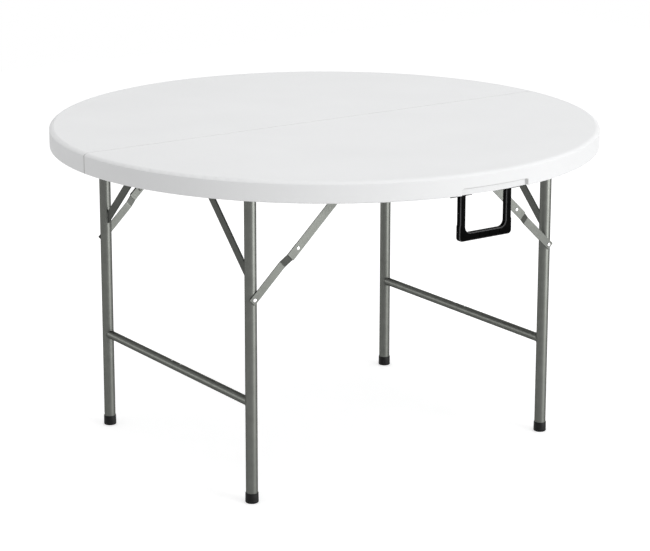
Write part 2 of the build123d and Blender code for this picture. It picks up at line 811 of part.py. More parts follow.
outer_spans = (
    (-hinge_half_length, -middle_knuckle_half - knuckle_gap),
    (middle_knuckle_half + knuckle_gap, hinge_half_length),
)
middle_span = ((-middle_knuckle_half, middle_knuckle_half),)
hinge_places = (-hinge_x, 0, hinge_x)
write_part(group(make_hinge_leaf(x, outer_spans) for x in hinge_places), "seam_hinge_front_leaves")
rear_leaves = [to_rear(make_hinge_leaf(x, middle_span)) for x in hinge_places]
write_part(group(rear_leaves), "seam_hinge_rear_leaves")
write_part(group(make_hinge_pin(x) for x in hinge_places), "seam_hinge_pins")
seam_screws = [make_screw(place, skirt_bottom - leaf_thickness) for place in hinge_screws]
write_part(group(seam_screws + [to_rear(screw) for screw in seam_screws]), "hinge_screws")

# Leg frames and braces: each piece is made at the left front and turned to its corner
for side, turn_side, pivot_z, hanger_point, upper_length in (
    ("left", lambda shape: shape, pivot_z_left, hanger_point_left, upper_link_length_left),
    ("right", to_right, pivot_z_right, hanger_point_right, upper_link_length_right),
):
    corner_pieces = {
        "leg": make_leg(pivot_z),
        "foot_cap": make_foot_cap(),
        "pivot_tube": make_pivot_tube(pivot_z),
        "crossbar": make_crossbar(),
        "strut": make_strut(pivot_z),
        "lower_link": make_lower_link(),
        "upper_link": make_upper_link(hanger_point, upper_length),
        "elbow_rivet": make_rivet(elbow_point, upper_link_inner, upper_link_outer, True, False),
        "elbow_tail": make_rivet(elbow_point, elbow_inner, elbow_outer, False, True),
    }
    for name, piece in corner_pieces.items():
        write_part(turn_side(piece), f"{name}_{side}_front")
        write_part(to_rear(turn_side(piece)), f"{name}_{side}_rear")
    write_part(turn_side(make_knuckle()), f"crossbar_knuckle_{side}")
    knuckle_pins = group([make_knuckle_pin(-knuckle_pin_y), make_knuckle_pin(knuckle_pin_y)])
    write_part(turn_side(knuckle_pins), f"crossbar_pins_{side}")
    leg_rivet = make_rivet(
        brace_point(0), leg_rivet_inner, lower_link_outer + link_gap, True, True
    )
    write_part(turn_side(both_rows(leg_rivet)), f"leg_rivets_{side}")
    write_part(turn_side(both_rows(make_hanger(hanger_point))), f"brace_hangers_{side}")
    clips = [make_pivot_clip(pivot_z, y) for y in (clip_inner_y, clip_outer_y)]
    clip_group = group(clips + [to_rear(clip) for clip in clips])
    write_part(turn_side(clip_group), f"pivot_clips_{side}")

# Rivets and screws fixed to the underside
left_pivot = make_rivet(hanger_point_left, hanger_inner, upper_link_outer + link_gap, True, True)
right_pivot = make_rivet(hanger_point_right, hanger_inner, upper_link_outer + link_gap, True, True)
hanger_rivets = [left_pivot, to_right(right_pivot)]
write_part(group(hanger_rivets + [to_rear(rivet) for rivet in hanger_rivets]), "hanger_rivets")
paired_screws = [make_screw(place, underside - clip_flange_thickness) for place in clip_screws]
paired_screws += [make_screw(place, underside - hanger_thickness) for place in hanger_screws]
handle_screws = [make_screw(place, underside - mount_web) for place in mount_screws]
bracket_screws = paired_screws + [to_rear(screw) for screw in paired_screws] + handle_screws
write_part(group(bracket_screws), "bracket_screws")

# Carrying handle
write_part(make_handle(), "handle")
left_mount = make_handle_mount()
write_part(left_mount, "handle_mount_left")
write_part(to_right(left_mount), "handle_mount_right")
left_axle = make_axle()
write_part(group([left_axle, to_right(left_axle)]), "handle_axles")
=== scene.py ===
import json
import math

import bmesh
import bpy
import numpy as np
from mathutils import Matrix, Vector


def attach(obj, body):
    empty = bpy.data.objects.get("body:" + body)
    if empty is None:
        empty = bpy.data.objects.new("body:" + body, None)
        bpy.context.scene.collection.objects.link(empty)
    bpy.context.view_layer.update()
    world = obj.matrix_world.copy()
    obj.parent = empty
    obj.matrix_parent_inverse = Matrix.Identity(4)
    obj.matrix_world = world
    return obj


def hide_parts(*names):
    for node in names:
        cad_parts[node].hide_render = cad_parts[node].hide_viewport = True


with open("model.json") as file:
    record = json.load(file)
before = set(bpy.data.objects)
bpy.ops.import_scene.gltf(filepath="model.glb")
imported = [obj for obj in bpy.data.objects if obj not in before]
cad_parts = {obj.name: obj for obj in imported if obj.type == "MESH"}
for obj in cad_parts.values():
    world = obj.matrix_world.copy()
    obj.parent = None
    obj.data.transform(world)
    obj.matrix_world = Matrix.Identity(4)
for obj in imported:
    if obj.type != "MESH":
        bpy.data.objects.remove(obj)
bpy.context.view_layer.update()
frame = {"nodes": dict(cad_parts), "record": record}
print("frame loaded, nodes:", len(frame["nodes"]))


# in every function s is the dictionary of settings that stands above it, with lengths in metres
# and angles in degrees, but for the camera's and the brace's, which are in radians

# camera: turned clockwise from +Y and tilted down, with a small shift for upright legs
cameraSet = {
    "place": (-2.7911, -3.9904, 1.7215),
    "turn": 0.6049,
    "tilt": 0.2373,
    "lens": 123.44,
    "sensor": 36.0,
    "shiftX": 0.0193,
    "shiftY": -0.12,
    "farthest": 100,
}


def makeCamera(s):
    data = bpy.data.cameras.new("photoCamera")
    data.lens = s["lens"]
    data.sensor_width = s["sensor"]
    data.shift_x = s["shiftX"]
    data.shift_y = s["shiftY"]
    data.clip_end = s["farthest"]
    camera = bpy.data.objects.new("photoCamera", data)
    camera.location = s["place"]
    camera.rotation_euler = (math.pi / 2 - s["tilt"], 0, -s["turn"])
    bpy.context.scene.collection.objects.link(camera)
    bpy.context.scene.camera = camera


# world and lamps: the world's two strengths are radiances, the lamps' powers are in watts
lightSet = {
    "ambient": 0.62,
    "background": 1.0,
    "key": {"place": (2.7, -7.8, 1.90), "size": (3.6, 3.6), "power": 255, "aim": (0, 0, 0.75)},
    "top": {"place": (0.3, -0.3, 3.9), "size": (3.4, 3.4), "power": 40, "aim": (0, 0, 0.7)},
    "strip": {"place": (1.9, -3.8, 0.52), "size": (2.4, 1.0), "power": 205, "aim": (0, 0, 0.4)},
    "rim": {"place": (-3.45, 3.9, 0.92), "size": (1.6, 1.1), "power": 46, "aim": (0, 0, 0.3)},
}


def addMath(tree, operation, first, second=None):
    # first and second are outputs of other nodes
    node = tree.nodes.new("ShaderNodeMath")
    node.operation = operation
    tree.links.new(first, node.inputs[0])
    if second:
        tree.links.new(second, node.inputs[1])
    return node.outputs[0]


def seenDirectly(tree):
    # 1 where a camera, mirror or glass ray arrives, 0 where light is gathered
    path = tree.nodes.new("ShaderNodeLightPath")
    value = path.outputs["Is Camera Ray"]
    for name in ("Is Glossy Ray", "Is Transmission Ray"):
        value = addMath(tree, "MAXIMUM", value, path.outputs[name])
    return value


def mixSeen(tree, gathered, seen, output):
    # one shader where light is gathered, the other where the thing is seen directly
    mix = tree.nodes.new("ShaderNodeMixShader")
    tree.links.new(seenDirectly(tree), mix.inputs["Fac"])
    tree.links.new(gathered, mix.inputs[1])
    tree.links.new(seen, mix.inputs[2])
    out = tree.nodes.new(output)
    tree.links.new(mix.outputs[0], out.inputs["Surface"])


def makeWorld(s):
    world = bpy.data.worlds.new("studio")
    world.use_nodes = True
    tree = world.node_tree
    tree.nodes.clear()
    lights = []
    for strength in (s["ambient"], s["background"]):
        light = tree.nodes.new("ShaderNodeBackground")
        light.inputs["Color"].default_value = (1, 1, 1, 1)
        light.inputs["Strength"].default_value = strength
        lights.append(light.outputs[0])
    mixSeen(tree, *lights, "ShaderNodeOutputWorld")
    bpy.context.scene.world = world


def makeLamp(name, s):
    data = bpy.data.lights.new(name, "AREA")
    data.shape = "RECTANGLE"
    data.size, data.size_y = s["size"]
    data.energy = s["power"]
    lamp = bpy.data.objects.new(name, data)
    lamp.location = s["place"]
    aim = Vector(s["aim"]) - Vector(s["place"])
    lamp.rotation_euler = aim.to_track_quat("-Z", "Y").to_euler()
    lamp.visible_camera = False
    bpy.context.scene.collection.objects.link(lamp)
    return lamp


# floor: a pale diffuse plane, lifted where it is seen, so that its shadow stays faint
floorSet = {"half": 4.5, "colour": (0.85, 0.85, 0.85, 1), "lift": 0.50}


def makeFloor(s):
    h = s["half"]
    mesh = bpy.data.meshes.new("floor")
    mesh.from_pydata([(-h, -h, 0), (h, -h, 0), (h, h, 0), (-h, h, 0)], [], [(0, 1, 2, 3)])
    floor = bpy.data.objects.new("floor", mesh)
    bpy.context.scene.collection.objects.link(floor)
    mat = bpy.data.materials.new("paleFloor")
    mat.use_nodes = True
    tree = mat.node_tree
    tree.nodes.clear()
    diffuse = tree.nodes.new("ShaderNodeBsdfDiffuse")
    diffuse.inputs["Color"].default_value = s["colour"]
    glow = tree.nodes.new("ShaderNodeEmission")
    glow.inputs["Strength"].default_value = s["lift"]
    lifted = tree.nodes.new("ShaderNodeAddShader")
    tree.links.new(diffuse.outputs[0], lifted.inputs[0])
    tree.links.new(glow.outputs[0], lifted.inputs[1])
    mixSeen(tree, diffuse.outputs[0], lifted.outputs[0], "ShaderNodeOutputMaterial")
    mesh.materials.append(mat)


makeCamera(cameraSet)
makeWorld(lightSet)
makeLamp("keyLamp", lightSet["key"])
makeLamp("topLamp", lightSet["top"])
for name in ("strip", "rim"):
    makeLamp(name + "Lamp", lightSet[name]).visible_diffuse = False  # only for the steel's gloss
makeFloor(floorSet)
print("camera, lamps and floor made")


# finishes: noises read Object coordinates, and each is given as (counts per metre, detail)
def newFinish(name, colour, metallic, roughness):
    mat = bpy.data.materials.new(name)
    mat.use_nodes = True
    tree = mat.node_tree
    shader = tree.nodes["Principled BSDF"]
    shader.inputs["Base Color"].default_value = (*colour, 1)
    shader.inputs["Metallic"].default_value = metallic
    shader.inputs["Roughness"].default_value = roughness
    coords = tree.nodes.new("ShaderNodeTexCoord")
    return mat, tree, shader, coords.outputs["Object"]


def addNoise(tree, place, scale, detail):
    noise = tree.nodes.new("ShaderNodeTexNoise")
    noise.inputs["Scale"].default_value = scale
    noise.inputs["Detail"].default_value = detail
    tree.links.new(place, noise.inputs["Vector"])
    return noise.outputs["Fac"]


def addRange(tree, value, low, high, fromLow=0.3, fromHigh=0.7):
    # low to high as the value goes from fromLow to fromHigh, where a noise mostly lies
    remap = tree.nodes.new("ShaderNodeMapRange")
    remap.inputs["From Min"].default_value = fromLow
    remap.inputs["From Max"].default_value = fromHigh
    remap.inputs["To Min"].default_value = low
    remap.inputs["To Max"].default_value = high
    tree.links.new(value, remap.inputs["Value"])
    return remap.outputs["Result"]


def addMix(tree, amount, first, second, blend="MIX"):
    # first and second are colours, or outputs of other nodes
    mix = tree.nodes.new("ShaderNodeMix")
    mix.data_type = "RGBA"
    mix.blend_type = blend
    tree.links.new(amount, mix.inputs["Factor"])
    for socket, given in (("A", first), ("B", second)):
        if isinstance(given, tuple):
            mix.inputs[socket].default_value = (*given, 1)
        else:
            tree.links.new(given, mix.inputs[socket])
    return mix.outputs["Result"]


def addTint(tree, place, noise, dark, light):
    # a colour that wanders from dark to light with the noise
    return addMix(tree, addRange(tree, addNoise(tree, place, *noise), 0, 1), dark, light)


def addRoughness(tree, shader, place, noise, low, high):
    # a roughness that wanders from low to high with the noise
    rough = addRange(tree, addNoise(tree, place, *noise), low, high)
    tree.links.new(rough, shader.inputs["Roughness"])


def addBumps(tree, shader, place, bumps):
    # noise bumps in a chain, each of bumps is (scale, detail, strength, depth in metres)
    normal = None
    for scale, detail, strength, depth in bumps:
        bump = tree.nodes.new("ShaderNodeBump")
        bump.inputs["Strength"].default_value = strength
        bump.inputs["Distance"].default_value = depth
        tree.links.new(addNoise(tree, place, scale, detail), bump.inputs["Height"])
        if normal:
            tree.links.new(normal, bump.inputs["Normal"])
        normal = bump.outputs["Normal"]
    tree.links.new(normal, shader.inputs["Normal"])


def shaded(colour, share):
    return tuple(share * c for c in colour)


# white moulding: painted shade darkens the seam between the halves, and a painted shade line runs
# round the lip of the finger recess, both set by place. Each pair of places is where a mark starts
# to change and where it has changed
whiteSet = {
    "colour": (0.84, 0.845, 0.85),
    "dark": (0.83, 0.835, 0.84),
    "light": (0.85, 0.855, 0.86),
    "toneNoise": (5, 3),
    "specular": 0.05,
    "roughness": (0.50, 0.62),
    "roughNoise": (40, 3),
    "bumps": ((9, 1, 0.10, 0.002), (330, 1, 0.12, 0.0004), (900, 2, 0.15, 0.0002)),
    "paintedSeamShade": {
        "shade": (0.6, 0.6, 0.58),
        "seam": (0.0011, 0.0016),
        "top": (0.7165, 0.7205),
        "topShare": 0.45,
    },
    # painted shade: a dark line along the lip of the finger recess
    "paintedLipShade": {
        "shade": (0.78, 0.78, 0.77),
        "end": 0.0800,
        "level": 0.6875,
        "farthest": 0.1,
        "inner": (0.0036, 0.0040),
        "outer": (0.0050, 0.0070),
        "front": (-0.598, -0.596),
    },
}


def addPaintedSeamShade(tree, y, z, mark):
    # 1 where |y| is small, in the seam, down to topShare on the top: painted shade in the seam's
    # gap, fainter on the top
    inSeam = addRange(tree, addMath(tree, "ABSOLUTE", y), 1, 0, *mark["seam"])
    return addMath(tree, "MULTIPLY", inSeam, addRange(tree, z, 1, mark["topShare"], *mark["top"]))


def addPaintedLipShade(tree, x, y, z, mark):
    # how far |x| is past end and z past level, neither under 0, make a distance: the painted shade
    # line along the recess lip is where it lies between inner and outer, at the front of the skirt
    offsets = tree.nodes.new("ShaderNodeCombineXYZ")
    farthest = mark["farthest"]
    for axis, value, start in (("X", addMath(tree, "ABSOLUTE", x), mark["end"]),
                               ("Z", z, mark["level"])):
        past = addRange(tree, value, 0, farthest, start, start + farthest)
        tree.links.new(past, offsets.inputs[axis])
    reach = tree.nodes.new("ShaderNodeVectorMath")
    reach.operation = "LENGTH"
    tree.links.new(offsets.outputs[0], reach.inputs[0])
    distance = reach.outputs["Value"]
    outline = addMath(tree, "MULTIPLY", addRange(tree, distance, 0, 1, *mark["inner"]),
                      addRange(tree, distance, 1, 0, *mark["outer"]))
    return addMath(tree, "MULTIPLY", outline, addRange(tree, y, 1, 0, *mark["front"]))


def makeWhiteMoulding(s, name):
    mat, tree, shader, place = newFinish(name, s["colour"], 0, s["roughness"][0])
    shader.inputs["Specular IOR Level"].default_value = s["specular"]
    axes = tree.nodes.new("ShaderNodeSeparateXYZ")
    tree.links.new(place, axes.inputs[0])
    x, y, z = (axes.outputs[axis] for axis in "XYZ")
    paintedSeamShade = addPaintedSeamShade(tree, y, z, s["paintedSeamShade"])
    paintedLipShade = addPaintedLipShade(tree, x, y, z, s["paintedLipShade"])
    tint = addTint(tree, place, s["toneNoise"], s["dark"], s["light"])
    # painted shade: the seam is darkened first, then the recess lip gets a painted shade line
    tint = addMix(tree, paintedSeamShade, tint, s["paintedSeamShade"]["shade"], "MULTIPLY")
    tint = addMix(tree, paintedLipShade, tint, s["paintedLipShade"]["shade"], "MULTIPLY")
    tree.links.new(tint, shader.inputs["Base Color"])
    addRoughness(tree, shader, place, s["roughNoise"], *s["roughness"])
    addBumps(tree, shader, place, s["bumps"])
    return mat


# coated steel: tone and roughness wander about the finish's own colour and roughness
coatSet = {
    "metallic": 0.85,
    "edgeTint": (0.25, 0.25, 0.25, 1),
    "toneShares": (0.94, 1.06),
    "toneNoise": (60, 4),
    "roughSteps": (-0.02, 0.03),
    "roughNoise": (150, 3),
    "bumps": ((700, 2, 0.05, 0.00012),),
}


def makeSteelCoat(s, name, colour, roughness):
    mat, tree, shader, place = newFinish(name, colour, s["metallic"], roughness)
    shader.inputs["Specular Tint"].default_value = s["edgeTint"]
    dark, light = (shaded(colour, share) for share in s["toneShares"])
    tree.links.new(addTint(tree, place, s["toneNoise"], dark, light), shader.inputs["Base Color"])
    low, high = (roughness + step for step in s["roughSteps"])
    addRoughness(tree, shader, place, s["roughNoise"], low, high)
    addBumps(tree, shader, place, s["bumps"])
    return mat


# zinc plated steel, one colour all over
zincSet = {"roughSteps": (-0.05, 0.06), "roughNoise": (200, 3), "bumps": ((500, 2, 0.08, 0.0001),)}


def makeBareSteel(s, name, colour, roughness):
    mat, tree, shader, place = newFinish(name, colour, 1, roughness)
    low, high = (roughness + step for step in s["roughSteps"])
    addRoughness(tree, shader, place, s["roughNoise"], low, high)
    addBumps(tree, shader, place, s["bumps"])
    return mat


# black moulding: a point attribute is 1 on the handle's rounded edges, where a paler colour is
# painted on as a highlight, 0 elsewhere
blackSet = {
    "lightShare": 1.5,
    "toneNoise": (120, 3),
    "roughShares": (0.8, 1.2),
    "roughNoise": (90, 3),
    "paintedHighlightColour": (0.09, 0.09, 0.092),
}


def makeBlackMoulding(s, name, colour, roughness, specular, grain):
    mat, tree, shader, place = newFinish(name, colour, 0, roughness)
    shader.inputs["Specular IOR Level"].default_value = specular
    plain = addTint(tree, place, s["toneNoise"], colour, shaded(colour, s["lightShare"]))
    edgeHighlight = tree.nodes.new("ShaderNodeAttribute")
    edgeHighlight.attribute_name = "paintedEdgeHighlight"
    tint = addMix(tree, edgeHighlight.outputs["Fac"], plain, s["paintedHighlightColour"])
    tree.links.new(tint, shader.inputs["Base Color"])
    low, high = (roughness * share for share in s["roughShares"])
    addRoughness(tree, shader, place, s["roughNoise"], low, high)
    addBumps(tree, shader, place, [grain])
    return mat


# each finish has a name, a colour and a roughness, and black ones a specular level and a grain
finishes = {
    "white_plastic": makeWhiteMoulding(whiteSet, "whiteMoulding"),
    "coated_steel": makeSteelCoat(coatSet, "greyGreenCoat", (0.112, 0.116, 0.107), 0.42),
    # flat bars, links and mounts: darker copies of the coat, whose darkness is painted shade
    "flat_shaded_steel": makeSteelCoat(coatSet, "flatBarShadedCoat", (0.078, 0.081, 0.075), 0.46),
    "link_shaded_steel": makeSteelCoat(coatSet, "linkShadedCoat", (0.074, 0.077, 0.071), 0.37),
    "grey_bracket": makeSteelCoat(coatSet, "bracketCoat", (0.18, 0.185, 0.18), 0.40),
    "mount_shaded_steel": makeSteelCoat(coatSet, "mountShadedCoat", (0.07, 0.072, 0.07), 0.40),
    "rivet_steel": makeBareSteel(zincSet, "brightZinc", (0.86, 0.86, 0.85), 0.22),
    "zinc_steel": makeBareSteel(zincSet, "dullZinc", (0.62, 0.63, 0.64), 0.36),
    "black_rubber": makeBlackMoulding(blackSet, "footRubber", (0.007, 0.007, 0.007), 0.50,
                                      0.12, (900, 2, 0.2, 0.0002)),
    "black_plastic": makeBlackMoulding(blackSet, "handleMoulding", (0.0008, 0.0008, 0.0009), 0.18,
                                       0.012, (1100, 2, 0.04, 0.0002)),
}
slotOf = {row["node"]: row["material_slot"] for row in frame["record"]["subparts"]}


def finishOf(node):
    # the flat struts take a darker, rougher copy of the coat, and the handle's mounts a darker one
    # still: painted shade
    if node.startswith("strut_"):
        return finishes["flat_shaded_steel"]
    if node.startswith("handle_mount_"):
        return finishes["mount_shaded_steel"]
    return finishes[slotOf[node]]


for name, node in frame["nodes"].items():
    for held in node.material_slots:
        held.material = finishOf(name)
print("finishes made")


# places that the pieces share, at the left front corner, with x and y taken outwards: elbow and
# hanger are distances up the brace from its rivet in the leg
corner = {
    "legX": 0.394,
    "legY": 0.300,
    "legRadius": 0.0127,
    "pivotHeight": {"left": 0.684, "right": 0.655},
    "pivotRadius": 0.0110,
    "barHeight": 0.2185,
    "barRadius": 0.0095,
    "rivetHeight": 0.444,
    "braceAngle": math.radians(43.4),
    "elbow": 0.141,
    "hanger": {"left": 0.301, "right": 0.286},
}
corners = [(side, row) for side in ("left", "right") for row in ("front", "rear")]


def turnToCorner(points, side, row):
    # shapes are made at the left front, and mirrored to the other corners
    across = 1 if side == "left" else -1
    along = 1 if row == "front" else -1
    return points * np.array([across, along, 1.0])


def bracePoint(distance):
    return (-corner["legX"] + distance * math.cos(corner["braceAngle"]),
            corner["rivetHeight"] + distance * math.sin(corner["braceAngle"]))


def gridFaces(rows, columns, closed):
    # quads between neighbouring points of a rows by columns grid, the last column joined
    # to the first where closed is true
    i = np.arange(rows - 1)[:, None]
    j = np.arange(columns if closed else columns - 1)[None, :]
    k = (j + 1) % columns
    quads = [i * columns + j, i * columns + k, (i + 1) * columns + k, (i + 1) * columns + j]
    return np.stack(quads, axis=-1).reshape(-1, 4)


def turnedOut(points, faces):
    # six times the signed volume is the sum of a · (b × c) over the triangles of the faces:
    # where it is negative the shape is inside out and every face is turned round
    total = 0.0
    for face in (faces[:, [0, 1, 2]], faces[:, [0, 2, 3]]):
        a, b, c = (points[face[:, n]] for n in range(3))
        total += np.sum(a * np.cross(b, c))
    return faces if total > 0 else faces[:, ::-1]


def joined(shapes):
    # several closed shapes as one: their points in a row, their faces counted on
    points, faces, count = [], [], 0
    for p, f in shapes:
        points.append(p)
        faces.append(turnedOut(p, f) + count)
        count += len(p)
    return np.concatenate(points), np.concatenate(faces)


def makeMesh(name, shape):
    # points that fall together become one, which closes seams and poles
    mesh = bpy.data.meshes.new(name)
    mesh.from_pydata(shape[0].tolist(), [], shape[1].tolist())
    work = bmesh.new()
    work.from_mesh(mesh)
    bmesh.ops.remove_doubles(work, verts=work.verts, dist=1e-6)
    work.to_mesh(mesh)
    work.free()
    mesh.shade_smooth()
    return mesh


def addPiece(name, shape, slot, body, replaced=(), sharp=35, finish=None):
    # edges that turn by more than sharp degrees stay crisp, and none do where sharp is 0
    mesh = makeMesh(name, shape)
    if sharp:
        mesh.set_sharp_from_angle(angle=math.radians(sharp))
    mesh.materials.append(finishes[finish or slot])
    piece = bpy.data.objects.new(name, mesh)
    bpy.context.scene.collection.objects.link(piece)
    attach(piece, body)
    if replaced:
        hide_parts(*replaced)
    return piece


def revolved(profile, place, axis, sides):
    # the point (radius, height) of the profile at angle a is
    # place + height · axis + radius · (cos a · u + sin a · v), with u and v square to the axis
    axis = np.array(axis, float)
    u = np.array([0.0, 0.0, 1.0]) if abs(axis[2]) < 0.5 else np.array([1.0, 0.0, 0.0])
    v = np.cross(axis, u)
    angle = np.linspace(0, 2 * np.pi, sides, endpoint=False)
    ring = np.cos(angle)[:, None] * u + np.sin(angle)[:, None] * v
    radius, height = np.array(profile, float).T
    points = (np.array(place) + height[:, None, None] * axis
              + radius[:, None, None] * ring[None, :, :])
    return points.reshape(-1, 3), gridFaces(len(radius), sides, True)


def arcPoints(centre, radius, start, end, count):
    # radius · (cos a, sin a) about centre, with a from start to end in degrees
    a = np.radians(np.linspace(start, end, count))
    return list(zip(centre[0] + radius * np.cos(a), centre[1] + radius * np.sin(a)))


# rubber foot caps: a cup turned about the leg, rounded below and with a soft upper lip
footSet = {
    "radius": 0.0143,
    "topRadius": 0.0140,
    "height": 0.0220,
    "sole": 0.0040,
    "round": 0.0024,
    "roundSteps": 8,
    "lip": 0.0007,
    "lipSteps": 5,
    "dish": 0.0006,
    "dishRadius": 0.0088,
    "slopeRadius": 0.0098,
    "slopeHeight": 0.0001,
    "treadRadius": 0.0104,
    "bore": 0.01275,
    "sides": 64,
}


def makeFootCaps(s):
    # the profile as (radius, height): from the sole's dished middle out over the tread, round a
    # quarter circle, up the side, over the lip and down inside the bore to its floor
    low = arcPoints((s["radius"] - s["round"], s["round"]), s["round"], -90, 0, s["roundSteps"])
    high = arcPoints((s["topRadius"] - s["lip"], s["height"] - s["lip"]), s["lip"], 0, 90,
                     s["lipSteps"])
    profile = [(0, s["dish"]), (s["dishRadius"], s["dish"]),
               (s["slopeRadius"], s["slopeHeight"]), (s["treadRadius"], 0)]
    profile += low + high + [(s["bore"], s["height"]), (s["bore"], s["sole"]), (0, s["sole"])]
    for side, row in corners:
        foot = (-corner["legX"], -corner["legY"], 0)
        points, faces = revolved(profile, foot, (0, 0, 1), s["sides"])
        shape = joined([(turnToCorner(points, side, row), faces)])
        addPiece(f"footRubber_{side}_{row}", shape, "black_rubber", f"leg_frame_{side}",
                 [f"foot_cap_{side}_{row}"])


makeFootCaps(footSet)
print("foot caps made")


# rivets: round head with a thin flange, shank, and a rolled tubular tail. Each shank goes from
# an inner to an outer distance from the table's middle, the tail is given as (radius, height)
rivetSet = {
    "shank": 0.0030,
    "head": 0.00425,
    "headHeight": 0.0022,
    "flange": 0.00035,
    "domeSteps": 10,
    "tail": ((0.0013, -0.0009), (0.0016, -0.0015), (0.0021, -0.0018), (0.0026, -0.0019),
             (0.0032, -0.0017), (0.0037, -0.0012), (0.0041, -0.0006), (0.0041, 0)),
    "tailFloor": -0.0008,
    "sides": 40,
    "legInner": 0.3106,
    "legOuter": 0.3154,
    "elbowInner": 0.3190,
    "elbowMiddle": 0.3210,
    "upperInner": 0.3212,
    "upperOuter": 0.3232,
    "hangerInner": 0.3190,
    "hangerOuter": 0.3234,
}


def rivetShape(s, place, inner, outer, withHead, withTail, side, row):
    # heights count outwards from the shank's inner end, the dome is a quarter ellipse
    length = outer - inner
    profile = [(0, s["tailFloor"]), *s["tail"]] if withTail else [(0, 0)]
    profile += [(s["shank"], 0), (s["shank"], length)]
    if withHead:
        turn = np.linspace(0, np.pi / 2, s["domeSteps"])
        rise = length + s["flange"] + (s["headHeight"] - s["flange"]) * np.sin(turn)
        profile += [(s["head"], length), *zip(s["head"] * np.cos(turn), rise)]
    else:
        profile += [(0, length)]
    points, faces = revolved(profile, (place[0], -inner, place[1]), (0, -1, 0), s["sides"])
    return turnToCorner(points, side, row), faces


def makeRivets(s):
    elbow = bracePoint(corner["elbow"])
    hangers = []
    for side in ("left", "right"):
        legs = [rivetShape(s, bracePoint(0), s["legInner"], s["legOuter"], True, True, side, row)
                for row in ("front", "rear")]
        addPiece(f"legRivets_{side}", joined(legs), "rivet_steel", f"leg_frame_{side}",
                 [f"leg_rivets_{side}"])
        for row in ("front", "rear"):
            hangers.append(rivetShape(s, bracePoint(corner["hanger"][side]), s["hangerInner"],
                                      s["hangerOuter"], True, True, side, row))
            head = rivetShape(s, elbow, s["upperInner"], s["upperOuter"], True, False, side, row)
            addPiece(f"elbowHead_{side}_{row}", joined([head]), "rivet_steel",
                     f"upper_link_{side}_{row}", [f"elbow_rivet_{side}_{row}"])
            # the rolled tails are coated over with their links, in the links' darker copy of the
            # coat, which is painted shade
            tail = rivetShape(s, elbow, s["elbowInner"], s["elbowMiddle"], False, True, side, row)
            addPiece(f"elbowRoll_{side}_{row}", joined([tail]), "rivet_steel",
                     f"lower_link_{side}_{row}", [f"elbow_tail_{side}_{row}"],
                     finish="link_shaded_steel")
    addPiece("hangerRivetHeads", joined(hangers), "rivet_steel", "tabletop", ["hanger_rivets"])


makeRivets(rivetSet)
print("rivets made")


# brace links: pressed flat bars, drilled for their rivets, the lower one with a joggle. Each
# reaches before its first hole and after its last one, with these corners at its two ends
linkSet = {
    "thickness": 0.0020,
    "hole": 0.00305,
    "round": 0.00035,
    "roundSegments": 2,
    "roundAngle": 55,
    "joggleStart": 0.0950,
    "joggleEnd": 0.1150,
    "joggleStep": 0.0058,
    "joggleSoft": 0.0004,
    "bendReach": 0.0030,
    "bendClear": 0.0040,
    "blockShare": 1.02,
    "lower": {"width": 0.0180, "before": 0.0080, "after": 0.0080, "corners": (0.0015, 0.0060),
              "middle": 0.3142, "joggled": True},
    "upper": {"width": 0.0200, "before": 0.0260, "after": 0.0100, "corners": (0.0015, 0.0100),
              "middle": 0.3222, "joggled": False},
    "steps": {"across": 8, "rings": 3, "length": 12, "bend": 9, "corner": 9, "side": 4, "front": 5},
}


def endBlock(s, hole, edge, end, half, cornerRadius):
    # one end of a bar as rings between its round hole and its outline: ring k of K is
    # hole point + k / K · (outline point - hole point), both on one ray from the hole's centre.
    # edge is where the block meets the rest of the bar, end its free end with round corners
    steps = s["steps"]
    way = 1 if end > edge else -1
    shared = np.stack([np.full(steps["across"] + 1, edge),
                       np.linspace(-half, half, steps["across"] + 1)], axis=1)
    turn = np.radians(np.linspace(0, 90, steps["corner"]))
    fillet = np.stack([end - way * cornerRadius * (1 - np.sin(turn)),
                       half - cornerRadius * (1 - np.cos(turn))], axis=1)
    side = np.linspace(edge, fillet[0, 0], steps["side"] + 2)[1:-1]
    upper = np.concatenate([np.stack([side, np.full(len(side), half)], axis=1), fillet])
    lower = (upper * [1, -1])[::-1]
    across = np.linspace(half - cornerRadius, cornerRadius - half, steps["front"] + 2)[1:-1]
    front = np.stack([np.full(len(across), end), across], axis=1)
    if cornerRadius == half:
        front = front[:0]
    outline = np.concatenate([shared, upper, front, lower])
    ray = outline - [hole, 0]
    inner = [hole, 0] + s["hole"] * ray / np.linalg.norm(ray, axis=1, keepdims=True)
    step = np.linspace(0, 1, steps["rings"] + 1)[:, None, None]
    points = inner + step * (outline - inner)
    return points.reshape(-1, 2), gridFaces(steps["rings"] + 1, len(outline), True)


def linkDepth(s, link, along):
    # middle + step · (1/2 + (|along - joggleStart| - |along - joggleEnd|) / (2 · joggle length)),
    # each |x| softened to the square root of x² + soft², and plain middle without a joggle
    if not link["joggled"]:
        return np.full(len(along), link["middle"])
    start, end = (np.sqrt((along - s[name]) ** 2 + s["joggleSoft"] ** 2)
                  for name in ("joggleStart", "joggleEnd"))
    share = 0.5 + (start - end) / (2 * (s["joggleEnd"] - s["joggleStart"]))
    return link["middle"] + s["joggleStep"] * share


